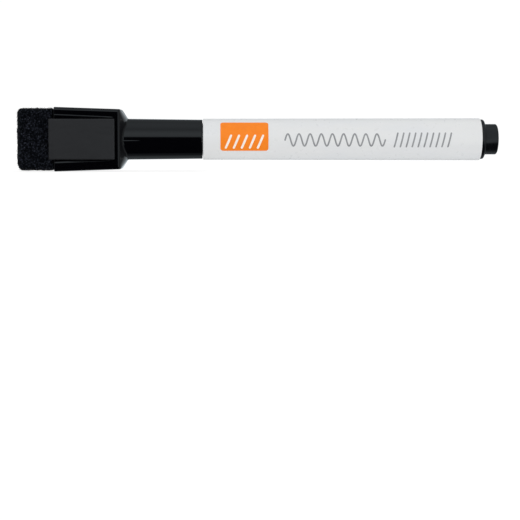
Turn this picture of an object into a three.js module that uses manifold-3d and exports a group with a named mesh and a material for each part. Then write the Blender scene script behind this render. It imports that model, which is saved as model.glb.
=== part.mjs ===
// A slim dry-wipe marker with a pull-off cap. The cap's box-shaped head holds a felt eraser and a
// bar magnet.
//
// Millimetres, +Z up. The marker lies along X on the lower edge of its head, with the eraser towards
// -X, the rear plug towards +X and the magnet facing -Y. X is 0 at half length, Y at the barrel's
// axis and Z at the lowest edge.
//
// Every piece is built round the barrel's axis, and its x is measured from the seam, the plane where
// the barrel starts and the cap's mouth ends: the cap is at x below 0 and the barrel above. The group
// at the end of the file puts the seam and the axis in their places.

import * as THREE from "three";
import { ConvexGeometry } from "three/addons/geometries/ConvexGeometry.js";
import { mergeVertices } from "three/addons/utils/BufferGeometryUtils.js";
import Module from "manifold-3d";

// ---- Driving dimensions: a depth is half a size along Y, and a height is half a size along Z ----

const SIDES = 48; // facets round a turned piece
const FIT = 0.1; // gap all round a piece that fits in another
const SEAT = 0.05; // gap between two faces that rest on each other
const BREAK = 0.2; // size of a plain broken edge

const barrelSize = {
  length: 75.35,
  frontRadius: 5.55,
  rearRadius: 5.72,
  boreRadius: 4.15,
  ribs: 6,
  ribHeight: 0.2,
  ribWidth: 0.7,
};

const plugSize = {
  spigotLength: 7,
  flangeLength: 1.1,
  flangeRadius: 5.4,
  flangeRound: 0.9,
  knobLength: 3.6,
  knobRadius: 4.15,
  knobRound: 0.75,
  wall: 1.05,
  bead: 0.05,
};

const holderSize = {
  spigotLength: 8,
  neckLength: 8,
  coneLength: 4,
  noseLength: 6,
  neckRadius: 4.4,
  noseRadius: 3.1,
  noseChamfer: 0.6,
  cavityRadius: 3.1,
  bead: 0.07,
  beadPlace: -5, // where the bead that grips the cap's bore is
  vents: 3,
  ventWidth: 0.6,
  ventDepth: 0.45,
};

const nibSize = { length: 36, shown: 4.5, radius: 1.9, point: 2.6, tailTaper: 0.6 };

const reservoirSize = { radius: 3.65, wrapThickness: 0.15, socketDepth: 6, gap: 0.5 };

const capSize = {
  mouthGap: 0.15, // between the cap's mouth and the barrel
  mouthRadius: 5.3,
  tubeRadius: 5.53, // where the tube runs into the head
  tubeLength: 20.3,
  boreRadius: 4.55,
  linerBoreRadius: 4.3,
  boreDepth: 26.05,
};

// The head is a box that narrows a little towards its shoulder. The shoulder closes in on the tube, and
// its corners slope more the nearer they are to it.
const headSize = {
  length: 17.65, // from the open end to where the top and bottom faces meet the shoulder
  openDepth: 7.3,
  openHeight: 8.6,
  shoulderLength: 1.6,
  shoulderDepth: 6.8,
  shoulderHeight: 8.02,
  depthSlope: 1.085, // how much the shoulder's depth shrinks for each millimetre along X
  heightSlope: 1.42,
  faceSetback: 0.72, // how much sooner the front and back faces meet the shoulder
  corner: 0.8, // how much of each face a sloping corner takes
  shoulderCorner: 2.2, // the same where the shoulder is inside the tube
};

const pocketSize = { length: 12, depth: 5.6, height: 7, corner: 0.8 }; // for the felt
const recessSize = { length: 16.5, height: 5.5, floor: 6.6 }; // for the magnet

const feltSize = { shown: 10.2, depth: 6.55, height: 8.25, corner: 1 };
const magnetSize = { length: 17.4, height: 5.4, thickness: 1.4, overhang: 1.27 };
const tapeSize = { length: 15.3, height: 5, thickness: 0.16, inset: 0.4 };

const linerSize = { length: 11.4, radius: 4.2, lipRadius: 3.2, cavityRadius: 2.8, wall: 0.8 };

// ---- Stations along X, from the seam ----

const rearFace = barrelSize.length;
const flangeStart = rearFace + SEAT;
const knobStart = flangeStart + plugSize.flangeLength;
const rearEnd = knobStart + plugSize.knobLength;
const neckEnd = -holderSize.neckLength;
const coneEnd = neckEnd - holderSize.coneLength;
const noseEnd = coneEnd - holderSize.noseLength;
const nibTip = noseEnd - nibSize.shown;
const nibTail = nibTip + nibSize.length;
const reservoirStart = holderSize.spigotLength + reservoirSize.gap;
const reservoirEnd = rearFace - plugSize.spigotLength - reservoirSize.gap;
const capMouth = -capSize.mouthGap;
const boreEnd = capMouth - capSize.boreDepth;
const tubeEnd = capMouth - capSize.tubeLength;
const shoulderStart = tubeEnd - headSize.shoulderLength;
const headOpen = shoulderStart - headSize.length;
const feltEnd = headOpen - feltSize.shown;

// ---- Geometry helpers ----

const wasm = await Module();
wasm.setup();

/** A closed three.js geometry as a solid that can be joined and cut. */
function solidOf(geometry) {
  geometry.deleteAttribute("normal");
  geometry.deleteAttribute("uv");
  const merged = mergeVertices(geometry, 1e-4);
  return new wasm.Manifold(
    new wasm.Mesh({
      numProp: 3,
      vertProperties: merged.attributes.position.array,
      triVerts: merged.index.array,
    }),
  );
}

/** A solid as a named three.js mesh. */
function meshOf(name, solid, material) {
  const { vertProperties, triVerts } = solid.getMesh();
  const geometry = new THREE.BufferGeometry();
  geometry.setAttribute("position", new THREE.BufferAttribute(vertProperties, 3));
  geometry.setIndex(new THREE.BufferAttribute(triVerts, 1));
  geometry.computeVertexNormals();
  const mesh = new THREE.Mesh(geometry, material);
  mesh.name = name;
  return mesh;
}

/** A solid turned about X from an outline of [x, radius] points that starts and ends on the axis. */
function turned(outline, sides = SIDES) {
  const points = outline.map(([x, radius]) => new THREE.Vector2(radius, x));
  return solidOf(new THREE.LatheGeometry(points, sides).rotateZ(-Math.PI / 2));
}

/** A hollow solid turned about X from an outline that closes on itself. */
function turnedRing(outline) {
  return turned([...outline, outline[0]]);
}

/** Points [x, radius] on an arc round a centre, between angles in degrees, where 0 points along +X. */
function arc([x, radius], size, from, to, steps = 4) {
  const points = [];
  for (let i = 0; i <= steps; i++) {
    const angle = THREE.MathUtils.degToRad(THREE.MathUtils.lerp(from, to, i / steps));
    points.push([x + size * Math.cos(angle), radius + size * Math.sin(angle)]);
  }
  return points;
}

/** A bar along X through rectangular sections { x, depth, height, corner } whose corners slope. */
function bar(sections) {
  const points = [];
  for (const { x, depth, height, corner } of sections) {
    for (const y of [-1, 1]) {
      for (const z of [-1, 1]) {
        points.push(new THREE.Vector3(x, y * depth, z * (height - corner)));
        points.push(new THREE.Vector3(x, y * (depth - corner), z * height));
      }
    }
  }
  return solidOf(new ConvexGeometry(points));
}

/** A plain block between its lowest and highest corners. */
function block(low, high) {
  const size = high.map((value, i) => value - low[i]);
  const centre = high.map((value, i) => (value + low[i]) / 2);
  return solidOf(new THREE.BoxGeometry(...size).translate(...centre));
}

/** Copies of a solid set evenly round the X axis and joined. */
function roundAxis(solid, count) {
  const copies = [];
  for (let i = 0; i < count; i++) {
    copies.push(solid.rotate([(360 * i) / count, 0, 0]));
  }
  return wasm.Manifold.union(copies);
}

// ---- The barrel and what it holds ----

/** A plain tube, with ribs inside that centre the reservoir and leave air channels along it. */
function barrel() {
  const { length, frontRadius, rearRadius, boreRadius, ribs, ribHeight, ribWidth } = barrelSize;
  const tube = turnedRing([
    [0, boreRadius],
    [0, frontRadius - BREAK],
    [BREAK, frontRadius],
    [length - BREAK, rearRadius],
    [length, rearRadius - BREAK],
    [length, boreRadius + BREAK],
    [length - BREAK, boreRadius],
  ]);
  const rib = block(
    [reservoirStart + 1, boreRadius - ribHeight, -ribWidth / 2],
    [reservoirEnd - 3, boreRadius + ribHeight, ribWidth / 2],
  );
  return tube.add(roundAxis(rib, ribs));
}

/** The front section: a spigot in the barrel, a neck that the cap grips, and a nose for the nib. */
function nibHolder() {
  const { spigotLength, neckRadius, noseRadius, noseChamfer, cavityRadius } = holderSize;
  const { bead, beadPlace, vents, ventWidth, ventDepth } = holderSize;
  const spigotRadius = barrelSize.boreRadius - FIT;
  const nibBore = nibSize.radius + FIT;
  const body = turnedRing([
    [noseEnd, nibBore],
    [noseEnd, noseRadius - noseChamfer],
    [noseEnd + noseChamfer, noseRadius],
    ...arc([coneEnd, neckRadius], neckRadius - noseRadius, -90, -35, 3),
    [neckEnd - BREAK, neckRadius - BREAK / 2],
    [neckEnd, neckRadius],
    [beadPlace - 3 * BREAK, neckRadius],
    [beadPlace - BREAK, neckRadius + bead],
    [beadPlace + BREAK, neckRadius + bead],
    [beadPlace + 3 * BREAK, neckRadius],
    [-SEAT, neckRadius],
    [-SEAT, spigotRadius],
    [spigotLength - 2 * BREAK, spigotRadius],
    [spigotLength, spigotRadius - BREAK],
    [spigotLength, cavityRadius],
    [neckEnd + 2, cavityRadius],
    [neckEnd, nibBore],
  ]);
  // The vents let air past the nib into the hollow behind it.
  const vent = block(
    [noseEnd - 0.5, nibBore - ventDepth, -ventWidth / 2],
    [neckEnd + 0.5, nibBore + ventDepth, ventWidth / 2],
  );
  return body.subtract(roundAxis(vent, vents));
}

/** A fibre rod with a bullet point. */
function nib() {
  const { radius, point, tailTaper } = nibSize;
  const bullet = arc([0, 0], 1, 180, 90, 7).map(([x, r]) => [nibTip + point * (1 + x), radius * r]);
  const tail = [
    [nibTail - 2 * tailTaper, radius],
    [nibTail, radius - tailTaper],
    [nibTail, 0],
  ];
  return turned([...bullet, ...tail], SIDES / 2);
}

/** A fibre rod with a socket for the nib's tail. */
function inkReservoir() {
  const { radius, socketDepth } = reservoirSize;
  const socketRadius = nibSize.radius + FIT;
  return turned([
    [reservoirStart + socketDepth, 0],
    [reservoirStart + socketDepth, socketRadius],
    [reservoirStart, socketRadius],
    [reservoirStart, radius - BREAK],
    [reservoirStart + BREAK, radius],
    [reservoirEnd - BREAK, radius],
    [reservoirEnd, radius - BREAK],
    [reservoirEnd, 0],
  ]);
}

/** The film sleeve round the reservoir. */
function reservoirWrap() {
  const inner = reservoirSize.radius + SEAT;
  const outer = inner + reservoirSize.wrapThickness;
  return turnedRing([
    [reservoirStart, inner],
    [reservoirStart, outer],
    [reservoirEnd, outer],
    [reservoirEnd, inner],
  ]);
}

/** A hollow plug: a spigot with a bead that grips the barrel's bore, a rounded flange and a knob. */
function rearPlug() {
  const { spigotLength, flangeRadius, flangeRound, knobRadius, knobRound, wall, bead } = plugSize;
  const spigotRadius = barrelSize.boreRadius - FIT;
  const spigotStart = rearFace - spigotLength;
  const beadStart = spigotStart + 2;
  const flangeEdge = flangeStart + BREAK / 2;
  return turned([
    [rearEnd - wall, 0],
    [rearEnd - wall, knobRadius - wall],
    [spigotStart, knobRadius - wall],
    [spigotStart, spigotRadius - BREAK],
    [spigotStart + 2 * BREAK, spigotRadius],
    [beadStart, spigotRadius],
    [beadStart + BREAK, spigotRadius + bead],
    [beadStart + 4 * BREAK, spigotRadius + bead],
    [beadStart + 5 * BREAK, spigotRadius],
    [flangeStart, spigotRadius],
    [flangeStart, flangeRadius - BREAK / 2],
    ...arc([flangeEdge, flangeRadius - flangeRound], flangeRound, 90, 10, 5),
    [knobStart, knobRadius],
    ...arc([rearEnd - knobRound, knobRadius - knobRound], knobRound, 90, 0),
    [rearEnd, 0],
  ]);
}

// ---- The cap and what it holds ----

/** The outside of the head, whose shoulder runs on a little way inside the tube. */
function headBlock() {
  const { openDepth, openHeight, shoulderDepth, shoulderHeight } = headSize;
  const { shoulderLength, depthSlope, heightSlope, faceSetback, corner } = headSize;
  const run = shoulderLength + 0.45;
  return bar([
    { x: headOpen, depth: openDepth, height: openHeight, corner },
    { x: shoulderStart - faceSetback, depth: shoulderDepth, height: shoulderHeight, corner },
    {
      x: shoulderStart,
      depth: shoulderDepth - depthSlope * faceSetback,
      height: shoulderHeight,
      corner,
    },
    {
      x: shoulderStart + run,
      depth: shoulderDepth - depthSlope * (faceSetback + run),
      height: shoulderHeight - heightSlope * run,
      corner: headSize.shoulderCorner,
    },
  ]);
}

/** The head and its tube, with a stepped bore, a pocket for the felt and a recess for the magnet. */
function capShell() {
  const { mouthRadius, tubeRadius, boreRadius, linerBoreRadius } = capSize;
  const linerSeat = boreEnd + linerSize.length + 3 * BREAK;
  const past = 1; // how far a cut runs past the surface that it opens
  const tube = turned([
    [boreEnd - past, 0],
    [boreEnd - past, tubeRadius],
    [tubeEnd, tubeRadius],
    [capMouth - BREAK, mouthRadius],
    [capMouth, mouthRadius - BREAK],
    [capMouth, 0],
  ]);
  const bore = turned([
    [boreEnd, 0],
    [boreEnd, linerBoreRadius],
    [linerSeat, linerBoreRadius],
    [linerSeat + 2 * BREAK, boreRadius],
    [capMouth - 2 * BREAK, boreRadius],
    [capMouth + past, boreRadius + past / 2],
    [capMouth + past, 0],
  ]);
  const pocketEnds = [headOpen - past, headOpen + pocketSize.length];
  const pocket = bar(pocketEnds.map((x) => ({ x, ...pocketSize })));
  const recess = block(
    [headOpen - past, -headSize.openDepth - past, -recessSize.height],
    [headOpen + recessSize.length, -recessSize.floor, recessSize.height],
  );
  return headBlock().add(tube).subtract(bore).subtract(pocket).subtract(recess);
}

/** A soft liner that sits at the end of the cap's bore and seals on the nose round the nib. */
function innerCap() {
  const { length, radius, lipRadius, cavityRadius, wall } = linerSize;
  const start = boreEnd + BREAK;
  const end = start + length;
  const lipStart = noseEnd - 0.5;
  return turned([
    [start, 0],
    [start, radius - BREAK],
    [start + BREAK, radius],
    [end - BREAK, radius],
    [end, radius - BREAK],
    [end, lipRadius + 2 * BREAK],
    [end - 2 * BREAK, lipRadius],
    [lipStart, lipRadius],
    [lipStart - 2 * BREAK, cavityRadius],
    [start + wall, cavityRadius],
    [start + wall, 0],
  ]);
}

/** The eraser: a block that stands out of the head, with a tenon that fills the head's pocket. */
function eraserFelt() {
  const standing = bar([feltEnd, headOpen - SEAT].map((x) => ({ x, ...feltSize })));
  const tenonSize = {
    depth: pocketSize.depth - FIT,
    height: pocketSize.height - FIT,
    corner: pocketSize.corner,
  };
  const tenonEnds = [headOpen - 1, headOpen + pocketSize.length - 3 * FIT];
  const tenon = bar(tenonEnds.map((x) => ({ x, ...tenonSize })));
  return standing.add(tenon);
}

const tapeBack = recessSize.floor + SEAT / 2;
const tapeFront = tapeBack + tapeSize.thickness;
const magnetBack = tapeFront + SEAT / 2;

/** Double-sided tape between the recess and the magnet. */
function magnetTape() {
  const { length, height, inset } = tapeSize;
  const start = headOpen + inset;
  return block([start, -tapeFront, -height], [start + length, -tapeBack, height]);
}

/** A bar that lies in the recess, stands proud of the head and overhangs its open end. */
function magnet() {
  const { length, height, thickness, overhang } = magnetSize;
  const start = headOpen - overhang;
  return block([start, -magnetBack - thickness, -height], [start + length, -magnetBack, height]);
}

// ---- Materials ----

function plain(color, roughness) {
  return new THREE.MeshStandardMaterial({ color, roughness, metalness: 0 });
}

const whitePlastic = plain(0xe1e2e4, 0.35);
const blackPlastic = plain(0x1a1c1e, 0.25);
const clearFilm = plain(0xd8dde0, 0.2);
const linerPlastic = plain(0xe9e9e4, 0.45);
const blackFelt = plain(0x101114, 0.95);
const inkFibre = plain(0x17171c, 0.9);
const nibFibre = plain(0x0c0c0e, 0.8);
const magnetRubber = plain(0x2b2b2d, 0.55);
const foamTape = plain(0xc9c6bd, 0.7);

// ---- Assembly ----

const barrelGroup = new THREE.Group();
barrelGroup.add(
  meshOf("barrel", barrel(), whitePlastic),
  meshOf("nib_holder", nibHolder(), whitePlastic),
  meshOf("nib", nib(), nibFibre),
  meshOf("ink_reservoir", inkReservoir(), inkFibre),
  meshOf("reservoir_wrap", reservoirWrap(), clearFilm),
  meshOf("rear_plug", rearPlug(), blackPlastic),
);

const capGroup = new THREE.Group();
capGroup.add(
  meshOf("cap_shell", capShell(), blackPlastic),
  meshOf("inner_cap", innerCap(), linerPlastic),
  meshOf("eraser_felt", eraserFelt(), blackFelt),
  meshOf("magnet", magnet(), magnetRubber),
  meshOf("magnet_tape", magnetTape(), foamTape),
);

const marker = new THREE.Group();
marker.add(barrelGroup, capGroup);
marker.position.set(-(feltEnd + rearEnd) / 2, 0, headSize.openHeight);

export default marker;
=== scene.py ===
"""The looks of a slim dry-wipe marker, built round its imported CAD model.

Shapes are worked out in millimetres, in the marker's own frame: x runs along the axis from the seam
between cap and barrel (the eraser is at x below 0), and y and z are measured from the axis. The
magnet faces -y and the head's long side is along z. make() puts a shape in the frame, in metres.
"""

import math
import random

import bmesh
import bpy
from mathutils import Matrix, Vector, noise


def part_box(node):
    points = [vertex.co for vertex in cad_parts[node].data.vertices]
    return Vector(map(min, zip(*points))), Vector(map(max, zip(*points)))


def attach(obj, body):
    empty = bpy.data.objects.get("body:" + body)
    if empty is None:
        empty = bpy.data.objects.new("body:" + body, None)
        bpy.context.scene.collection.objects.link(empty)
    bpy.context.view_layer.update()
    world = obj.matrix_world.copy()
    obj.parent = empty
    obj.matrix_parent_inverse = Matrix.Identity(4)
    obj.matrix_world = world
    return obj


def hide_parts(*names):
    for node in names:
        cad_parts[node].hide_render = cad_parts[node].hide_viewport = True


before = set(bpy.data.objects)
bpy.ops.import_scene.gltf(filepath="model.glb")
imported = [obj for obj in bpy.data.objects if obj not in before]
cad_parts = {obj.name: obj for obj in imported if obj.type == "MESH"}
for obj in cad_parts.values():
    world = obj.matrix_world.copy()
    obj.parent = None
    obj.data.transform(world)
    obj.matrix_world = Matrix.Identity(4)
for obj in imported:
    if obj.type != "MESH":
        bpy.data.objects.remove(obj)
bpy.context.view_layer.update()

MM = 0.001
SIDES = 160  # facets round a turned piece

barrel_low, barrel_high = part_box("barrel")
SEAM = barrel_low.x / MM
AXIS = (barrel_low.z + barrel_high.z) / 2 / MM


def span(node):
    """The ends of a CAD node along the axis."""
    low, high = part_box(node)
    return low.x / MM - SEAM, high.x / MM - SEAM


# ---- Sizes: a depth is half a size along y, and a height is half a size along z ----

REAR_FACE = span("barrel")[1]
FRONT_RADIUS = 5.55
REAR_RADIUS = 5.72
BORE_RADIUS = 4.15
FIT = 0.1

HEAD_OPEN, CAP_MOUTH = span("cap_shell")
FELT_END, FELT_TAIL = span("eraser_felt")
TUBE_LENGTH = 20.3
TUBE_END = CAP_MOUTH - TUBE_LENGTH
TUBE_RADIUS = 5.53
MOUTH_RADIUS = 5.3
CAP_BORE = 4.55
LINER_BORE = 4.3
BORE_END = CAP_MOUTH - 26.05

HEAD_LENGTH = 17.65
OPEN_DEPTH, OPEN_HEIGHT = 7.3, 8.6
SHOULDER_DEPTH, SHOULDER_HEIGHT = 6.8, 8.02
DEPTH_SLOPE, HEIGHT_SLOPE = 1.4, 1.42
SHOULDER = HEAD_OPEN + HEAD_LENGTH  # where the top and bottom meet the shoulder
FACE_END = SHOULDER - 0.35  # where the front and back meet it
HEAD_CORNER = 0.85
CORNER_GROWTH, CORNER_LEAD = 1.236, 0.35  # the corners widen over the shoulder, from a little before it
CREASE = 0.4  # how wide the rounding is where head, shoulder and tube meet
POCKET_DEPTH, POCKET_HEIGHT, POCKET_LENGTH = 5.6, 7.0, 12.0
RECESS_HEIGHT, RECESS_LENGTH, RECESS_FLOOR = 5.5, 16.5, 6.6

# The fine ribs above and below the magnet and the low mould line where the tube starts. Angles are in
# degrees from -y.
RIB_START, RIB_END = 41.0, 39.6
RIB_HALF_WIDTH = 1.5
RIB_PROUD = 0.13
MOULD_ANGLE = -5.5
MOULD_HALF_WIDTH = 3.0
MOULD_PROUD = 0.07
MOULD_FADE = 7.0


# ---- Shapes ----


def smooth_min(a, b, width):
    """The smaller of two values, with a rounded change from one to the other."""
    near = max(width - abs(a - b), 0) / width
    return min(a, b) - near * near * width / 4


def smooth_max(a, b, width):
    return -smooth_min(-a, -b, width)


def smooth_step(value, start, end):
    t = min(max((value - start) / (end - start), 0), 1)
    return t * t * (3 - 2 * t)


def filleted(corners, steps=6):
    """An outline through corners (x, radius, fillet), whose corners without a fillet stay sharp."""
    outline = []
    for i, corner in enumerate(corners):
        if len(corner) == 2:
            outline.append(corner)
            continue
        here = Vector(corner[:2])
        back = Vector(corners[i - 1][:2]) - here
        ahead = Vector(corners[(i + 1) % len(corners)][:2]) - here
        half = back.angle(ahead) / 2
        reach = min(corner[2] / math.tan(half), 0.49 * back.length, 0.49 * ahead.length)
        start = here + back.normalized() * reach
        end = here + ahead.normalized() * reach
        for step in range(steps + 1):
            t = step / steps
            weights = ((1 - t) ** 2, 2 * t * (1 - t) * math.sin(half), t * t)
            point = (start * weights[0] + here * weights[1] + end * weights[2]) / sum(weights)
            outline.append((point.x, point.y))
    return outline


def skin(rings, looped=False):
    """Points and faces of the surface through rings of points, where a ring of one point is a tip."""
    points = []
    starts = []
    for ring in rings:
        starts.append(len(points))
        points.extend(ring)
    pairs = [(i, i + 1) for i in range(len(rings) - 1)]
    if looped:
        pairs.append((len(rings) - 1, 0))
    faces = []
    for a, b in pairs:
        count = max(len(rings[a]), len(rings[b]))
        for i in range(count):
            corners = [(a, i), (a, i + 1), (b, i + 1), (b, i)]
            face = [starts[ring] + at % len(rings[ring]) for ring, at in corners]
            faces.append(tuple(dict.fromkeys(face)))
    return points, faces


def turned(outline, sides=SIDES, looped=False):
    """A surface turned about the axis from an outline of (x, radius) points."""
    rings = []
    for x, radius in outline:
        if radius < 1e-6:
            rings.append([(x, 0, 0)])
            continue
        angles = [2 * math.pi * i / sides for i in range(sides)]
        rings.append([(x, radius * math.cos(a), radius * math.sin(a)) for a in angles])
    return skin(rings, looped)


def stops(low, high, radius, step):
    """Places along one edge of a block: close together where it is rounded, then step apart."""
    fine = [radius * i / 4 for i in range(4)]
    count = max(1, round((high - low - 2 * radius) / step))
    middle = [low + radius + (high - low - 2 * radius) * i / count for i in range(count + 1)]
    return [low + f for f in fine] + middle + [high - f for f in reversed(fine)]


def block(low, high, radius, step, shift=None):
    """A block with rounded edges, and shift(point, normal) moves each point of it if it is given."""
    axes = [stops(low[i], high[i], radius, step) for i in range(3)]
    counts = [len(places) - 1 for places in axes]
    points = []
    index = {}

    def point_at(key):
        if key not in index:
            place = Vector([axes[i][key[i]] for i in range(3)])
            pairs = zip(place, low, high)
            core = Vector([min(max(p, a + radius), b - radius) for p, a, b in pairs])
            normal = (place - core).normalized()
            place = core + normal * radius
            index[key] = len(points)
            points.append(shift(place, normal) if shift else place)
        return index[key]

    faces = []
    for axis in range(3):
        u, v = (axis + 1) % 3, (axis + 2) % 3
        for side in (0, counts[axis]):
            for i in range(counts[u]):
                for j in range(counts[v]):
                    face = []
                    for a, b in ((i, j), (i + 1, j), (i + 1, j + 1), (i, j + 1)):
                        key = [0, 0, 0]
                        key[axis], key[u], key[v] = side, a, b
                        face.append(point_at(tuple(key)))
                    faces.append(tuple(face))
    return points, faces


def make(name, shape):
    """A mesh object of that shape, in the frame, with its faces pointing out."""
    points, faces = shape
    places = [((x + SEAM) * MM, y * MM, (z + AXIS) * MM) for x, y, z in points]
    mesh = bpy.data.meshes.new(name)
    mesh.from_pydata(places, [], faces)
    work = bmesh.new()
    work.from_mesh(mesh)
    bmesh.ops.recalc_face_normals(work, faces=work.faces)
    work.to_mesh(mesh)
    work.free()
    piece = bpy.data.objects.new(name, mesh)
    bpy.context.scene.collection.objects.link(piece)
    return piece


def cut(piece, operation, *tools):
    """Joins the tools to a piece or takes them from it, and removes them."""
    for tool in tools:
        change = piece.modifiers.new("cut", "BOOLEAN")
        change.operation = operation
        change.solver = "EXACT"
        change.object = tool
    bpy.context.view_layer.update()
    depsgraph = bpy.context.evaluated_depsgraph_get()
    mesh = bpy.data.meshes.new_from_object(piece.evaluated_get(depsgraph))
    piece.modifiers.clear()
    piece.data = mesh
    for tool in tools:
        bpy.data.objects.remove(tool)


def dress(piece, body, material, node=None, sharp=40):
    """Gives a piece its material and body and hides the CAD node it stands for, with smooth shading
    between sharp edges.
    """
    piece.data.materials.clear()
    piece.data.materials.append(material)
    piece.data.shade_smooth()
    piece.data.set_sharp_from_angle(angle=math.radians(sharp))
    weights = piece.modifiers.new("even shading", "WEIGHTED_NORMAL")
    weights.keep_sharp = True
    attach(piece, body)
    if node:
        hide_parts(node)


# ---- Materials ----


def colour(red, green, blue):
    """A colour from its 0 to 255 screen values."""
    linear = []
    for value in (red, green, blue):
        share = value / 255
        linear.append(share / 12.92 if share < 0.04045 else ((share + 0.055) / 1.055) ** 2.4)
    return (*linear, 1)


class Finish:
    """A Principled material with helpers for the textures that feed it, measured in millimetres."""

    def __init__(self, name, **constants):
        self.material = bpy.data.materials.new(name)
        self.material.use_nodes = True
        self.tree = self.material.node_tree
        self.shader = self.tree.nodes["Principled BSDF"]
        for socket, value in constants.items():
            self.shader.inputs[socket.replace("_", " ")].default_value = value
        self.place = self.add("ShaderNodeTexCoord").outputs["Object"]

    def add(self, kind, **links):
        node = self.tree.nodes.new(kind)
        for socket, value in links.items():
            self.feed(node.inputs[socket.replace("_", " ")], value)
        return node

    def feed(self, socket, value):
        if isinstance(value, bpy.types.NodeSocket):
            self.tree.links.new(value, socket)
        else:
            socket.default_value = value

    def grain(self, size, detail=3.0, stretch=(1, 1, 1), roughness=0.55):
        """Noise from 0 to 1 whose lumps are about size millimetres across."""
        scale = [s / (size * MM) for s in stretch]
        placed = self.add("ShaderNodeMapping", Vector=self.place, Scale=scale)
        texture = self.add("ShaderNodeTexNoise", Vector=placed.outputs[0], Scale=1.0, Detail=detail)
        texture.inputs["Roughness"].default_value = roughness
        return texture.outputs["Fac"]

    def spread(self, value, low, high, to_low=0.0, to_high=1.0):
        """A value from low to high as one from to_low to to_high."""
        node = self.add("ShaderNodeMapRange", Value=value)
        node.inputs["From Min"].default_value = low
        node.inputs["From Max"].default_value = high
        node.inputs["To Min"].default_value = to_low
        node.inputs["To Max"].default_value = to_high
        return node.outputs["Result"]

    def blend(self, share, first, second):
        """A mix of two colours."""
        node = self.tree.nodes.new("ShaderNodeMix")
        node.data_type = "RGBA"
        self.feed(node.inputs[0], share)
        self.feed(node.inputs[6], first)
        self.feed(node.inputs[7], second)
        return node.outputs[2]

    def relief(self, height, depth, under=None):
        """A bump of so many millimetres on top of another one."""
        node = self.add("ShaderNodeBump", Height=height, Distance=depth * MM, Strength=1.0)
        if under:
            self.feed(node.inputs["Normal"], under)
        return node.outputs["Normal"]

    def wear(self, base=None, rough=None, normal=None):
        """Links the shader's colour, roughness and normal, and returns the material."""
        for socket, value in (("Base Color", base), ("Roughness", rough), ("Normal", normal)):
            if value is not None:
                self.feed(self.shader.inputs[socket], value)
        return self.material


def white_plastic(name, light, dark, roughness):
    """Satin moulded plastic: faint flow marks along the axis and a very fine grain."""
    finish = Finish(name, IOR=1.46)
    flow = finish.grain(6.0, stretch=(0.25, 1, 1))
    fine = finish.grain(0.12, detail=2.0)
    base = finish.blend(finish.spread(flow, 0.35, 0.65), light, dark)
    rough = finish.spread(finish.grain(1.5), 0.3, 0.7, roughness - 0.04, roughness + 0.05)
    normal = finish.relief(fine, 0.0012, finish.relief(flow, 0.004))
    return finish.wear(base, rough, normal)


def gloss_black_plastic():
    """Polished black plastic, with a faint ripple in its reflections and a few dull hair lines."""
    finish = Finish("gloss_black_plastic", IOR=1.4)
    ripple = finish.grain(3.5, detail=1.0)
    hair = finish.grain(0.16, detail=2.0, stretch=(0.05, 1, 1))
    base = finish.blend(finish.grain(5.0), colour(2, 2, 4), colour(4, 4, 6))
    rough = finish.spread(hair, 0.58, 0.75, 0.055, 0.12)
    return finish.wear(base, rough, finish.relief(ripple, 0.0015))


def satin_black_plastic():
    """The plug's plastic, which is a little duller than the cap's."""
    finish = Finish("satin_black_plastic", IOR=1.42)
    base = finish.blend(finish.grain(2.5), colour(4, 6, 9), colour(7, 9, 12))
    rough = finish.spread(finish.grain(0.8), 0.35, 0.65, 0.17, 0.24)
    return finish.wear(base, rough, finish.relief(finish.grain(0.15), 0.0015))


def felt_material(name, dark, light):
    """Pressed wool felt: tangled fibres, painted darker in the hollows of their bump as painted shade
    and lighter on its tops as painted light, with a few pale specks that are painted glints.
    """
    finish = Finish(name, IOR=1.4, Specular_IOR_Level=0.08, Sheen_Weight=0.03, Sheen_Roughness=0.5)
    tangle = finish.grain(0.45, detail=6.0, roughness=0.7)
    lumps = finish.grain(1.6, detail=3.0)
    # The colour follows the tangle's bump: its hollows get the dark colour, which is painted shade, and
    # its tops the light one, which is painted light.
    base = finish.blend(finish.spread(tangle, 0.51, 0.67), dark, light)
    # The pale specks are painted glints of lit fibres.
    painted_glints = finish.spread(finish.grain(0.4, detail=2.0), 0.62, 0.7)
    base = finish.blend(painted_glints, base, colour(46, 50, 58))
    normal = finish.relief(tangle, 0.12, finish.relief(lumps, 0.15))
    return finish.wear(base, 0.95, normal)


def magnet_material():
    """Flexible magnet sheet: a satin rubber face with fine rolling marks along it."""
    finish = Finish("magnet_rubber", IOR=1.45)
    marks = finish.grain(0.5, detail=4.0, stretch=(0.12, 1, 1))
    powder = finish.grain(0.12, detail=2.0)
    base = finish.blend(finish.spread(marks, 0.3, 0.7), colour(21, 21, 23), colour(26, 26, 28))
    base = finish.blend(finish.spread(powder, 0.62, 0.8, 0, 0.5), base, colour(44, 44, 46))
    rough = finish.spread(marks, 0.3, 0.7, 0.46, 0.58)
    return finish.wear(base, rough, finish.relief(powder, 0.006, finish.relief(marks, 0.008)))


def foam_material():
    """The cut edge of foam tape, with its cells, whose pits are painted darker as painted shade."""
    finish = Finish("foam_tape", IOR=1.4)
    cells = finish.add("ShaderNodeTexVoronoi", Vector=finish.place, Scale=1 / (0.12 * MM))
    share = finish.spread(cells.outputs["Distance"], 0.1, 0.6)
    # Each cell's pit gets the darker colour, which is painted shade.
    base = finish.blend(share, colour(150, 147, 138), colour(205, 202, 193))
    return finish.wear(base, 0.8, finish.relief(share, 0.02))


def fibre_material(name, dark, light, size):
    """Bonded fibres that run along the axis."""
    finish = Finish(name, IOR=1.4)
    strands = finish.grain(size, detail=4.0, stretch=(0.06, 1, 1))
    share = finish.spread(strands, 0.35, 0.65)
    base = finish.blend(share, dark, light)
    return finish.wear(base, 0.85, finish.relief(share, 0.03))


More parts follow.
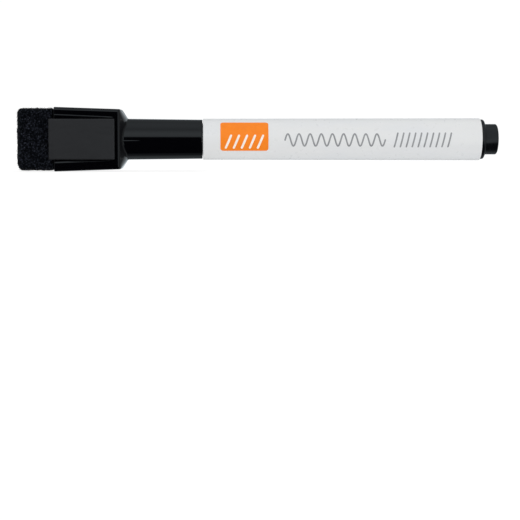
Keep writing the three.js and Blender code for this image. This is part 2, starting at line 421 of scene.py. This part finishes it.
def film_material():
    """The clear sleeve round the ink reservoir, with fine creases along it."""
    finish = Finish("clear_film", IOR=1.5, Transmission_Weight=0.85)
    creases = finish.grain(0.8, detail=3.0, stretch=(0.1, 1, 1))
    base = finish.blend(creases, colour(225, 230, 233), colour(240, 243, 245))
    rough = finish.spread(creases, 0.3, 0.7, 0.08, 0.25)
    return finish.wear(base, rough, finish.relief(creases, 0.02))


def liner_material():
    """Soft, slightly milky plastic."""
    finish = Finish("milky_liner", IOR=1.5, Subsurface_Weight=0.4, Subsurface_Scale=0.0012)
    cloud = finish.grain(1.2)
    base = finish.blend(cloud, colour(222, 222, 214), colour(236, 236, 230))
    rough = finish.spread(cloud, 0.3, 0.7, 0.38, 0.5)
    return finish.wear(base, rough, finish.relief(finish.grain(0.2), 0.003))


def ink_material(name, thin, full, gaps):
    """Printed ink, with a fine screen grain and tiny gaps where it hasn't quite covered."""
    finish = Finish(name, IOR=1.45)
    screen = finish.grain(0.09, detail=2.0)
    patches = finish.grain(1.4, detail=3.0)
    base = finish.blend(finish.spread(patches, 0.35, 0.65), full, thin)
    base = finish.blend(finish.spread(screen, 1 - gaps, 1.0), base, colour(228, 229, 232))
    rough = finish.spread(screen, 0.3, 0.7, 0.3, 0.42)
    return finish.wear(base, rough, finish.relief(screen, 0.002))


# ---- The barrel and what it holds ----


def barrel_radius(x):
    return FRONT_RADIUS + (REAR_RADIUS - FRONT_RADIUS) * x / REAR_FACE


def make_barrel(material):
    """The tube, with the ribs that centre the reservoir in its bore."""
    ribs, rib_height, rib_width = 6, 0.2, 0.7
    outline = filleted([
        (0, BORE_RADIUS),
        (0, FRONT_RADIUS, 0.22),
        (REAR_FACE, REAR_RADIUS, 0.16),
        (REAR_FACE, BORE_RADIUS, 0.2),
    ])
    tube = make("barrel_tube", turned(outline, looped=True))
    start, end = span("ink_reservoir")
    tools = []
    for i in range(ribs):
        low = (start + 1, BORE_RADIUS - rib_height, -rib_width / 2)
        high = (end - 3, BORE_RADIUS + rib_height, rib_width / 2)
        points, faces = block(low, high, 0.08, 80)
        turn = Matrix.Rotation(2 * math.pi * i / ribs, 3, "X")
        tools.append(make("rib", ([turn @ p for p in points], faces)))
    cut(tube, "UNION", *tools)
    dress(tube, "barrel", material, "barrel")


def make_nib_holder(material):
    """The front section, with its grip bead and the vents beside the nib."""
    start, end = span("nib_holder")
    spigot = BORE_RADIUS - FIT
    bore = 2.0
    neck, nose, cavity = 4.4, 3.1, 3.1
    neck_end, cone_end = -8.0, -12.0
    bead_x, bead = -5.0, 0.07
    cone = []
    for step in range(9):
        angle = math.radians(-90 + 55 * step / 8)
        reach = neck - nose
        cone.append((cone_end + reach * math.cos(angle), neck + reach * math.sin(angle)))
    outline = filleted([
        (start, bore, 0.1),
        (start, nose - 0.6, 0.12),
        (start + 0.6, nose, 0.3),
        *cone,
        (neck_end - 0.2, neck - 0.1, 0.1),
        (neck_end, neck, 0.1),
        (bead_x - 0.6, neck, 0.3),
        (bead_x - 0.2, neck + bead, 0.15),
        (bead_x + 0.2, neck + bead, 0.15),
        (bead_x + 0.6, neck, 0.3),
        (-0.05, neck, 0.1),
        (-0.05, spigot),
        (end - 0.4, spigot, 0.2),
        (end, spigot - 0.2, 0.1),
        (end, cavity, 0.1),
        (neck_end + 2, cavity),
        (neck_end, bore),
    ])
    holder = make("front_section", turned(outline, looped=True))
    vents = []
    for i in range(3):
        shape = block((start - 0.5, bore - 0.45, -0.3), (neck_end + 0.5, bore + 0.45, 0.3), 0.1, 30)
        turn = Matrix.Rotation(2 * math.pi * i / 3, 3, "X")
        vents.append(make("vent", ([turn @ p for p in shape[0]], shape[1])))
    cut(holder, "DIFFERENCE", *vents)
    dress(holder, "barrel", material, "nib_holder")


def make_nib(material):
    """A fibre rod with a bullet point that is a little worn."""
    start, end = span("nib")
    radius, point, taper = 1.9, 2.6, 0.6
    outline = []
    for step in range(15):
        angle = math.radians(180 - 90 * step / 14)
        outline.append((start + point * (1 + math.cos(angle)), radius * math.sin(angle)))
    rings = 40
    body = [(start + point + (end - 2 * taper - start - point) * i / rings, radius)
            for i in range(1, rings + 1)]
    outline += body + [(end, radius - taper), (end, 0)]
    points, faces = turned(outline, 72)

    def worn(point):
        place = Vector(point)
        size = 0.035 * noise.noise(place * 1.7) + 0.02 * noise.noise(place * Vector((0.8, 7, 7)))
        away = Vector((0, place.y, place.z))
        return place + away.normalized() * size if away.length > 0.05 else place

    nib = make("nib_rod", ([worn(p) for p in points], faces))
    dress(nib, "barrel", material, "nib", sharp=60)


def make_reservoir(fibre, film):
    """The ink's fibre rod, with its socket for the nib, and the film sleeve round it."""
    start, end = span("ink_reservoir")
    radius, socket, depth, gap, film_thickness = 3.65, 2.0, 6.0, 0.05, 0.15
    outline = filleted([
        (start + depth, 0),
        (start + depth, socket),
        (start, socket, 0.15),
        (start, radius, 0.25),
        (end, radius, 0.25),
        (end, 0),
    ])
    rod = make("ink_rod", turned(outline, 96))
    dress(rod, "barrel", fibre, "ink_reservoir")
    inner = radius + gap
    outer = inner + film_thickness
    outline = filleted([
        (start, inner),
        (start, outer, 0.05),
        (end, outer, 0.05),
        (end, inner),
    ], steps=3)
    sleeve = make("ink_sleeve", turned(outline, 96, looped=True))
    dress(sleeve, "barrel", film, "reservoir_wrap")


def make_rear_plug(material):
    """The stepped plug: a spigot with a bead, a rounded flange and a knob."""
    start, end = span("rear_plug")
    spigot = BORE_RADIUS - FIT
    flange_start = REAR_FACE + 0.05
    knob_start = flange_start + 1.1
    flange, knob, wall = 5.4, 4.15, 1.05
    outline = filleted([
        (end - wall, 0),
        (end - wall, knob - wall, 0.3),
        (start, knob - wall, 0.1),
        (start, spigot - 0.2, 0.1),
        (start + 0.4, spigot, 0.2),
        (start + 2, spigot, 0.1),
        (start + 2.2, spigot + 0.05, 0.1),
        (start + 2.8, spigot + 0.05, 0.1),
        (start + 3, spigot, 0.1),
        (flange_start, spigot, 0.05),
        (flange_start, flange, 0.1),
        (knob_start, flange, 0.95),
        (knob_start, knob, 0.1),
        (end, knob, 0.5),
        (end, 0),
    ], steps=10)
    plug = make("end_plug", turned(outline))
    dress(plug, "barrel", material, "rear_plug")


# ---- The print on the barrel: a plain colour block and a plain line pattern, with no lettering ----

PRINT_PROUD = 0.012  # how far the ink stands off the barrel


def on_barrel(x, along, height):
    """The place at x and a distance along the curve up from the front, so far off the surface."""
    radius = barrel_radius(x)
    angle = along / radius
    return x, -(radius + height) * math.cos(angle), (radius + height) * math.sin(angle)


def printed(rows, layer=0):
    """A thin skin of ink over a grid of (x, along) places, closed at its edges and underneath."""
    top = PRINT_PROUD * (layer + 1)
    width = len(rows[0])
    points = []
    for height in (top, -PRINT_PROUD):
        for row in rows:
            points.extend(on_barrel(x, along, height) for x, along in row)
    under = len(rows) * width
    faces = []
    for i in range(len(rows) - 1):
        for j in range(width - 1):
            quad = (i * width + j, i * width + j + 1, (i + 1) * width + j + 1, (i + 1) * width + j)
            faces.append(quad)
            faces.append(tuple(under + corner for corner in reversed(quad)))
    edge = [j for j in range(width)]
    edge += [i * width + width - 1 for i in range(1, len(rows))]
    edge += [(len(rows) - 1) * width + j for j in range(width - 2, -1, -1)]
    edge += [i * width for i in range(len(rows) - 2, 0, -1)]
    for a, b in zip(edge, edge[1:] + edge[:1]):
        faces.append((a, b, under + b, under + a))
    return points, faces


def joined(shapes):
    """Several shapes as one."""
    points = []
    faces = []
    for more_points, more_faces in shapes:
        start = len(points)
        points.extend(more_points)
        faces.extend(tuple(start + corner for corner in face) for face in more_faces)
    return points, faces


def panel(start, end, bottom, top, corner):
    """Places over a rectangle with round corners."""
    arc_steps, across = 8, 24
    left = [start + corner * (1 - math.cos(math.pi / 2 * i / arc_steps)) for i in range(arc_steps + 1)]
    right = [start + end - x for x in reversed(left)]
    middle = [left[-1] + (right[0] - left[-1]) * i / 20 for i in range(1, 20)]
    rows = []
    for x in left + middle + right:
        out = max(start + corner - x, x - end + corner, 0)
        inset = corner - math.sqrt(max(corner ** 2 - out ** 2, 0))
        low, high = bottom + inset, top - inset
        rows.append([(x, low + (high - low) * j / across) for j in range(across + 1)])
    return rows


def stroke(path, width):
    """Places over a line of that width along a path, with round ends."""
    half = width / 2
    rows = []
    for i, here in enumerate(path):
        ahead = path[min(i + 1, len(path) - 1)]
        back = path[max(i - 1, 0)]
        along = (Vector(ahead) - Vector(back)).normalized()
        side = Vector((-along.y, along.x)) * half
        ends = {0: -along, len(path) - 1: along}
        row = [Vector(here) + side * share for share in (-1, -0.5, 0, 0.5, 1)]
        rows.append([tuple(p) for p in row])
        if i in ends:
            caps = []
            for angle in (30, 60, 84):
                out = Vector(here) + ends[i] * half * math.sin(math.radians(angle))
                narrow = side * math.cos(math.radians(angle))
                caps.append([tuple(out + narrow * share) for share in (-1, -0.5, 0, 0.5, 1)])
            rows = list(reversed(caps)) + rows if i == 0 else rows + caps
    return rows


def make_print(orange, white, grey):
    """An orange block with slanted strokes, then a wavy line and a row of slanted ticks."""
    block_start, block_end, block_bottom, block_top = 4.65, 17.55, -3.28, 5.2
    shape = printed(panel(block_start, block_end, block_bottom, block_top, 0.75))
    pieces = [make("print_block", shape)]
    dress(pieces[0], "barrel", orange)

    strokes = []
    for i in range(5):
        foot = block_start + 1.45 + 2.15 * i
        path = [(foot + 1.4 * t / 8, block_bottom + 0.95 + 3.3 * t / 8) for t in range(9)]
        strokes.append(printed(stroke(path, 0.58), layer=1))
    pieces.append(make("print_strokes", joined(strokes)))
    dress(pieces[1], "barrel", white)

    line_start, line_end, line_width, swing, wave = 22.0, 49.0, 0.42, 1.65, 3.0
    bottom, top = -2.05, 1.65
    steps = 24 * round((line_end - line_start) / wave)
    path = []
    for i in range(steps + 1):
        x = line_start + (line_end - line_start) * i / steps
        path.append((x, (bottom + top) / 2 + swing * math.sin(2 * math.pi * (x - line_start) / wave)))
    lines = [printed(stroke(path, line_width))]
    for i in range(10):
        foot = 51.5 + 1.61 * i
        tick = [(foot + 0.9 * t / 6, bottom + (top - bottom) * t / 6) for t in range(7)]
        lines.append(printed(stroke(tick, line_width)))
    pieces.append(make("print_line", joined(lines)))
    dress(pieces[2], "barrel", grey)
    for piece in pieces:
        piece.visible_glossy = False  # so that the cap's shoulder doesn't mirror the print


# ---- The cap and what it holds ----


def box_radius(angle, depth, height, corner):
    """How far a rounded rectangle reaches in a direction, in degrees from -y towards z."""
    across = abs(math.cos(math.radians(angle)))
    up = abs(math.sin(math.radians(angle)))
    if across * (height - corner) >= up * depth:
        return depth / across
    if up * (depth - corner) >= across * height:
        return height / up
    centre_across, centre_up = depth - corner, height - corner
    along = centre_across * across + centre_up * up
    return along + math.sqrt(along ** 2 - centre_across ** 2 - centre_up ** 2 + corner ** 2)


def cap_angles():
    """Directions round the cap, closest together at the head's corners and ribs."""
    quarter = []
    angle = 0.0
    while angle < 90:
        quarter.append(angle)
        if 38 <= angle < 43:
            angle += 0.25
        elif 2 <= angle < 10 or 43 <= angle < 57:
            angle += 0.5
        else:
            angle += 2.0
    quarter.append(90.0)
    half = quarter + [180 - a for a in reversed(quarter[:-1])]
    return half + [-a for a in reversed(half[1:-1])]


def head_radius(x, angle, inset=0.0):
    """How far the head and its shoulder reach from the axis."""
    taper = (x - HEAD_OPEN) / HEAD_LENGTH
    face_taper = (x - HEAD_OPEN) / (FACE_END - HEAD_OPEN)
    depth = smooth_min(
        OPEN_DEPTH + (SHOULDER_DEPTH - OPEN_DEPTH) * face_taper,
        SHOULDER_DEPTH - DEPTH_SLOPE * (x - FACE_END),
        CREASE,
    )
    height = smooth_min(
        OPEN_HEIGHT + (SHOULDER_HEIGHT - OPEN_HEIGHT) * taper,
        SHOULDER_HEIGHT - HEIGHT_SLOPE * (x - SHOULDER),
        CREASE,
    )
    corner = HEAD_CORNER + CORNER_GROWTH * max(x - SHOULDER + CORNER_LEAD, 0)
    corner = min(corner, depth - 0.1, height - 0.1)
    radius = box_radius(angle, depth - inset, height - inset, corner - inset / 2)
    rib_angle = RIB_START + (RIB_END - RIB_START) * min(max(face_taper, 0), 1)
    fade = smooth_step(x, HEAD_OPEN, HEAD_OPEN + 0.6) * smooth_step(x, FACE_END - 0.6, FACE_END - 5)
    return radius + ridge(abs(angle), rib_angle, RIB_HALF_WIDTH, RIB_PROUD * fade)


def ridge(angle, middle, half_width, height):
    """How far a low rounded ridge stands up at an angle."""
    off = min(abs(angle - middle) / half_width, 1)
    return height * (1 - off * off) ** 2


def tube_radius(x, angle=180.0):
    """How far the tube reaches, with the line that its mould left near the shoulder."""
    share = (x - TUBE_END) / (CAP_MOUTH - TUBE_END)
    fade = smooth_step(x, TUBE_END + MOULD_FADE, TUBE_END)
    plain = TUBE_RADIUS + (MOUTH_RADIUS - TUBE_RADIUS) * share
    return plain + ridge(angle, MOULD_ANGLE, MOULD_HALF_WIDTH, MOULD_PROUD * fade)


def ring(x, radius_at):
    """Points round the cap at one x."""
    points = []
    for angle in cap_angles():
        radius = radius_at(angle)
        turn = math.radians(angle)
        points.append((x, -radius * math.cos(turn), radius * math.sin(turn)))
    return points


def cap_rings():
    """Rings from the pocket's floor out over the head and tube and back in to the bore's end."""
    pocket_end = HEAD_OPEN + POCKET_LENGTH
    rim, lip = 0.25, 0.15
    blend_start = TUBE_END - 2.2  # from here on the tube counts as well as the head

    def pocket(grow):
        return lambda a: box_radius(a, POCKET_DEPTH + grow, POCKET_HEIGHT + grow, 0.8 + grow)

    rings = [[(pocket_end, 0, 0)], ring(pocket_end, pocket(0)), ring(HEAD_OPEN + 1.0, pocket(0))]
    for step in range(5):
        angle = math.pi / 2 * step / 4
        x = HEAD_OPEN + lip * (1 - math.sin(angle))
        rings.append(ring(x, pocket(lip * (1 - math.cos(angle)))))
    for step in range(7):
        angle = math.pi / 2 * step / 6
        x = HEAD_OPEN + rim * (1 - math.cos(angle))
        inset = rim * (1 - math.sin(angle)) + 1e-9
        rings.append(ring(x, lambda a, x=x, inset=inset: head_radius(x, a, inset)))
    sparse = [HEAD_OPEN + 0.6 + (FACE_END - HEAD_OPEN - 1.2) * i / 14 for i in range(15)]
    dense = [FACE_END - 0.5 + 0.075 * i for i in range(42)]
    for x in [HEAD_OPEN + 0.4] + sparse + dense:
        if x < blend_start:
            rings.append(ring(x, lambda a, x=x: head_radius(x, a)))
            continue
        rings.append(ring(x, lambda a, x=x: smooth_max(head_radius(x, a), tube_radius(x, a), CREASE)))
    for i in range(1, 12):
        x = dense[-1] + MOULD_FADE * i / 10
        rings.append(ring(x, lambda a, x=x: tube_radius(x, a)))
    outline = filleted([
        (x, tube_radius(x)),
        (CAP_MOUTH - 3, tube_radius(CAP_MOUTH - 3)),
        (CAP_MOUTH - 0.35, tube_radius(CAP_MOUTH - 0.35)),
        (CAP_MOUTH, MOUTH_RADIUS, 0.25),
        (CAP_MOUTH, CAP_BORE, 0.3),
        (BORE_END + 12.4, CAP_BORE, 0.1),
        (BORE_END + 12.0, LINER_BORE, 0.1),
        (BORE_END, LINER_BORE, 0.2),
        (BORE_END, 0),
    ])
    for x, radius in outline[1:-1]:
        rings.append(ring(x, lambda a, radius=radius: radius))
    rings.append([(BORE_END, 0, 0)])
    return rings


def make_cap(material):
    cap = make("cap_body", skin(cap_rings()))
    low = (HEAD_OPEN - 2, -12, -RECESS_HEIGHT)
    high = (HEAD_OPEN + RECESS_LENGTH, -RECESS_FLOOR, RECESS_HEIGHT)
    cut(cap, "DIFFERENCE", make("recess", block(low, high, 0.05, 30)))
    dress(cap, "cap", material, "cap_shell")


def make_inner_cap(material):
    """The soft cup that seals on the nose."""
    start, end = span("inner_cap")
    radius, lip, cavity, wall, lip_length = 4.2, 3.2, 2.8, 0.8, 3.9
    outline = filleted([
        (start, 0),
        (start, radius, 0.25),
        (end, radius, 0.25),
        (end, lip + 0.4, 0.1),
        (end - 0.4, lip, 0.2),
        (end - lip_length, lip, 0.1),
        (end - lip_length - 0.4, cavity, 0.1),
        (start + wall, cavity, 0.3),
        (start + wall, 0),
    ])
    cup = make("liner_cup", turned(outline, 128))
    dress(cup, "cap_liner", material, "inner_cap")


FELT_DEPTH, FELT_HEIGHT, FELT_CORNER = 6.55, 8.25, 1.1
FELT_WEAR = 0.08  # the share by which the free end is smaller
FIBRES = 3600


def felt_surface(place, normal):
    """The felt's face: lumps and pile, and a free end whose edges have worn down."""
    dents = 0.12 * noise.noise(place * 0.28)
    lumps = 0.14 * noise.noise(place * 0.8 + Vector((7, 0, 0)))
    pile = 0.13 * noise.noise(place * 2.1 + Vector((0, 5, 0)))
    worn = FELT_WEAR * smooth_step(place.x, FELT_END + 1.7, FELT_END + 0.2) ** 2
    moved = place + normal * (dents + lumps + pile)
    return Vector((moved.x, moved.y * (1 - worn), moved.z * (1 - worn)))


def make_felt(material, strands):
    """The eraser: a block with a tenon in the head's pocket, and the loose fibres on its faces."""
    low = Vector((FELT_END + 0.34, -FELT_DEPTH, -FELT_HEIGHT))
    high = Vector((HEAD_OPEN - 0.05, FELT_DEPTH, FELT_HEIGHT))
    felt = make("felt_block", block(low, high, FELT_CORNER, 0.22, felt_surface))
    tenon_low = (HEAD_OPEN - 2, -POCKET_DEPTH + FIT, -POCKET_HEIGHT + FIT)
    tenon_high = (FELT_TAIL, POCKET_DEPTH - FIT, POCKET_HEIGHT - FIT)
    cut(felt, "UNION", make("tenon", block(tenon_low, tenon_high, 0.75, 1.0)))
    dress(felt, "cap", material, "eraser_felt", sharp=180)

    draw = random.Random(11)
    fibres = []
    sizes = high - low
    centre = (low + high) / 2
    inside = [size / 2 - FELT_CORNER for size in sizes]
    areas = (sizes.y * sizes.z, 2 * sizes.x * sizes.z, 2 * sizes.x * sizes.y)
    for _ in range(FIBRES):
        axis = draw.choices((0, 1, 2), areas)[0]
        place = Vector([draw.uniform(-0.49, 0.49) * size for size in sizes])
        side = -1 if axis == 0 else draw.choice((-1, 1))
        place[axis] = side * sizes[axis] / 2
        core = Vector([min(max(place[i], -inside[i]), inside[i]) for i in range(3)])
        normal = (place - core).normalized()
        place = felt_surface(centre + core + normal * FELT_CORNER, normal) - normal * 0.08
        across = Vector([draw.gauss(0, 1) for _ in range(3)])
        across = (across - normal * across.dot(normal)).normalized()
        length = draw.uniform(0.14, 0.42)
        lean = draw.uniform(0.8, 3.0)
        bend = draw.uniform(-0.8, 0.3)
        thickness = draw.uniform(0.022, 0.04)
        shape = fibre(place, normal, across, length, lean, bend, thickness)
        if min(point[2] for point in shape[0]) > -AXIS:
            fibres.append(shape)
    tufts = make("felt_fibres", joined(fibres))
    dress(tufts, "cap", strands, sharp=180)


def fibre(place, normal, across, length, lean, bend, thickness):
    """A closed, tapered strand that leans over and curls."""
    side = normal.cross(across)
    rings = []
    for step in range(4):
        share = step / 4
        out = length * share
        middle = place + normal * out * (1 + bend * share) + across * out * lean * (0.4 + share)
        radius = thickness * (1 - 0.75 * share)
        rings.append([
            middle + (across * math.cos(a) + side * math.sin(a)) * radius
            for a in (0, 2 * math.pi / 3, 4 * math.pi / 3)
        ])
    tip = place + normal * length * (1 + bend) + across * length * lean * 1.4
    return skin([[place - normal * 0.05]] + rings + [[tip]])


def make_magnet(material, tape):
    """The magnet, whose cut edges aren't quite true, and the tape behind it."""
    def cut_edge(place, normal):
        wander = 0.03 * noise.noise(place * 0.5) + 0.012 * noise.noise(place * 3)
        return place + normal * wander * (1 - 0.8 * abs(normal.y))

    low, high = shape_box("magnet")
    bar = make("magnet_bar", block(low, high, 0.14, 0.4, cut_edge))
    dress(bar, "cap", material, "magnet")
    low, high = shape_box("magnet_tape")
    strip = make("foam_strip", block(low, high, 0.03, 1.0))
    dress(strip, "cap", tape, "magnet_tape")


def shape_box(node):
    """A CAD node's lowest and highest corners in the marker's own frame."""
    low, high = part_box(node)
    offset = Vector((SEAM, 0, AXIS))
    return low / MM - offset, high / MM - offset


# ---- The studio ----

CAMERA_DISTANCE = 0.42  # in metres, like the room's radius
LENS = 106.7
CAMERA_DOWN = 4.48  # degrees below level, which puts the marker in the upper part of the picture
CAMERA_ASIDE = 2.13  # degrees towards the plug, as the camera stands opposite the cap's mouth
ROOM_RADIUS = 2.0


def make_camera():
    data = bpy.data.cameras.new("camera")
    data.lens = LENS
    data.sensor_width = 36
    data.clip_start = 0.01
    data.clip_end = 20
    camera = bpy.data.objects.new("camera", data)
    camera.location = ((SEAM + CAP_MOUTH) * MM, -CAMERA_DISTANCE, AXIS * MM)
    camera.rotation_euler = (math.radians(90 - CAMERA_DOWN), 0, math.radians(-CAMERA_ASIDE))
    bpy.context.scene.collection.objects.link(camera)
    bpy.context.scene.camera = camera


def glow_material(name, albedo, glow):
    """A pale matte surface that also glows, as a lit backdrop does."""
    finish = Finish(name)
    finish.shader.inputs["Specular IOR Level"].default_value = 0.0
    tint = finish.blend(finish.grain(400), (albedo,) * 3 + (1,), (albedo * 0.98,) * 3 + (1,))
    finish.shader.inputs["Emission Color"].default_value = (1, 1, 1, 1)
    # It glows more towards +x, which picks out the barrel's cut end.
    sides = finish.add("ShaderNodeSeparateXYZ", Vector=finish.place)
    light = finish.spread(sides.outputs[0], 0.4 * ROOM_RADIUS, ROOM_RADIUS, glow, glow * 1.4)
    finish.feed(finish.shader.inputs["Emission Strength"], light)
    return finish.wear(tint, 1.0)


def make_stage():
    """A pale floor in a pale round room. Neither shows in reflections, which see the world's lights."""
    rows, columns = 24, 48
    rings = []
    for i in range(rows + 1):
        angle = math.pi / 2 * i / rows
        width, z = ROOM_RADIUS * math.cos(angle), ROOM_RADIUS * math.sin(angle)
        if i == rows:
            rings.append([(0, 0, z)])
            continue
        turns = [2 * math.pi * j / columns for j in range(columns)]
        rings.append([(width * math.cos(a), width * math.sin(a), z) for a in turns])
    floor_ring = [(x, y, 0) for x, y, z in rings[0]]
    for name, parts, albedo, glow in (
        ("room", rings, 0.05, 0.97),
        ("floor", [floor_ring, [(0, 0, 0)]], 0.25, 0.8),
    ):
        points, faces = skin(parts)
        mesh = bpy.data.meshes.new(name)
        mesh.from_pydata(points, [], faces)
        mesh.materials.append(glow_material(name, albedo, glow))
        piece = bpy.data.objects.new(name, mesh)
        bpy.context.scene.collection.objects.link(piece)
        piece.visible_glossy = False


def make_lights():
    """What the glossy pieces reflect: a high soft box in front, and grey round the sides and back."""
    world = bpy.data.worlds.new("studio")
    bpy.context.scene.world = world
    world.use_nodes = True
    world.cycles.sampling_method = "NONE"
    tree = world.node_tree
    place = tree.nodes.new("ShaderNodeTexCoord").outputs["Generated"]
    parts = tree.nodes.new("ShaderNodeSeparateXYZ")
    tree.links.new(place, parts.inputs[0])

    def maths(operation, *values):
        node = tree.nodes.new("ShaderNodeMath")
        node.operation = operation
        for socket, value in zip(node.inputs, values):
            if isinstance(value, bpy.types.NodeSocket):
                tree.links.new(value, socket)
            else:
                socket.default_value = value
        return node.outputs[0]

    sideways, depth, up = parts.outputs
    ahead = maths("MULTIPLY", depth, -1.0)
    height = maths("ARCTAN2", up, ahead)
    share = maths("MULTIPLY_ADD", height, 0.5 / math.pi, 0.5)
    # The soft box's lower edge drops towards +x, between two places across.
    drop_start, drop_end, drop_rate = 0.03, 0.25, 0.7
    aside = maths("MINIMUM", maths("MAXIMUM", sideways, drop_start), drop_end)
    slant = maths("MULTIPLY_ADD", aside, drop_rate, -drop_start * drop_rate)
    drop = maths("MULTIPLY", maths("MAXIMUM", ahead, 0.0), slant)
    ramp = tree.nodes.new("ShaderNodeValToRGB")
    tree.links.new(maths("ADD", share, drop), ramp.inputs[0])
    # Each band is an angle up from straight ahead, in degrees, and how bright the light is there.
    bands = (
        (-180, 0.25), (-176, 0.9), (-168, 0.9), (-162, 0.22), (-131, 0.26), (-119, 0.37), (-108, 0.22),
        (-103, 0.13), (-91, 0.12), (-87, 0.0), (10.5, 0.0), (14.0, 0.78), (19, 1.0), (32, 1.1),
        (44, 0.93), (57, 0.66), (70, 0.74), (85, 0.72), (101, 0.55), (110, 0.41), (121, 0.31),
        (134, 0.24), (156, 0.16), (161, 0.9), (173, 0.9), (177, 0.25), (180, 0.25),
    )
    elements = ramp.color_ramp.elements
    elements.remove(elements[1])
    for i, (angle, light) in enumerate(bands):
        at = (angle + 180) / 360
        element = elements.new(at) if i else elements[0]
        element.position = at
        element.color = (light * 0.9, light, light * 1.06, 1)
    mix = tree.nodes.new("ShaderNodeMix")
    mix.data_type = "RGBA"
    tree.links.new(maths("MULTIPLY", sideways, sideways), mix.inputs[0])
    tree.links.new(ramp.outputs["Color"], mix.inputs[6])
    mix.inputs[7].default_value = (0.35, 0.37, 0.38, 1)
    background = tree.nodes["Background"]
    tree.links.new(mix.outputs[2], background.inputs["Color"])
    background.inputs["Strength"].default_value = 1.0
    bpy.context.scene.view_settings.view_transform = "Standard"


# ---- Everything ----


def build():
    make_camera()
    make_stage()
    make_lights()
    white = white_plastic("white_plastic", colour(220, 221, 221), colour(217, 219, 221), 0.3)
    make_barrel(white)
    make_nib_holder(white_plastic("holder_plastic", colour(222, 223, 224), colour(215, 217, 219), 0.34))
    make_nib(fibre_material("nib_fibre", colour(9, 9, 10), colour(30, 30, 33), 0.12))
    ink = fibre_material("ink_fibre", colour(12, 12, 16), colour(34, 34, 42), 0.2)
    make_reservoir(ink, film_material())
    make_rear_plug(satin_black_plastic())
    make_print(
        ink_material("orange_ink", colour(245, 131, 2), colour(241, 126, 0), 0.08),
        ink_material("white_ink", colour(238, 228, 214), colour(246, 240, 232), 0.1),
        ink_material("grey_ink", colour(146, 148, 150), colour(132, 134, 137), 0.14),
    )
    make_cap(gloss_black_plastic())
    make_inner_cap(liner_material())
    # In each felt material the second colour is painted light on the lumps' tops and the first is
    # painted shade in their hollows.
    make_felt(
        felt_material("black_felt", colour(0, 1, 3), colour(40, 43, 52)),
        felt_material("felt_strands", colour(5, 6, 10), colour(28, 31, 37)),
    )
    make_magnet(magnet_material(), foam_material())


build()
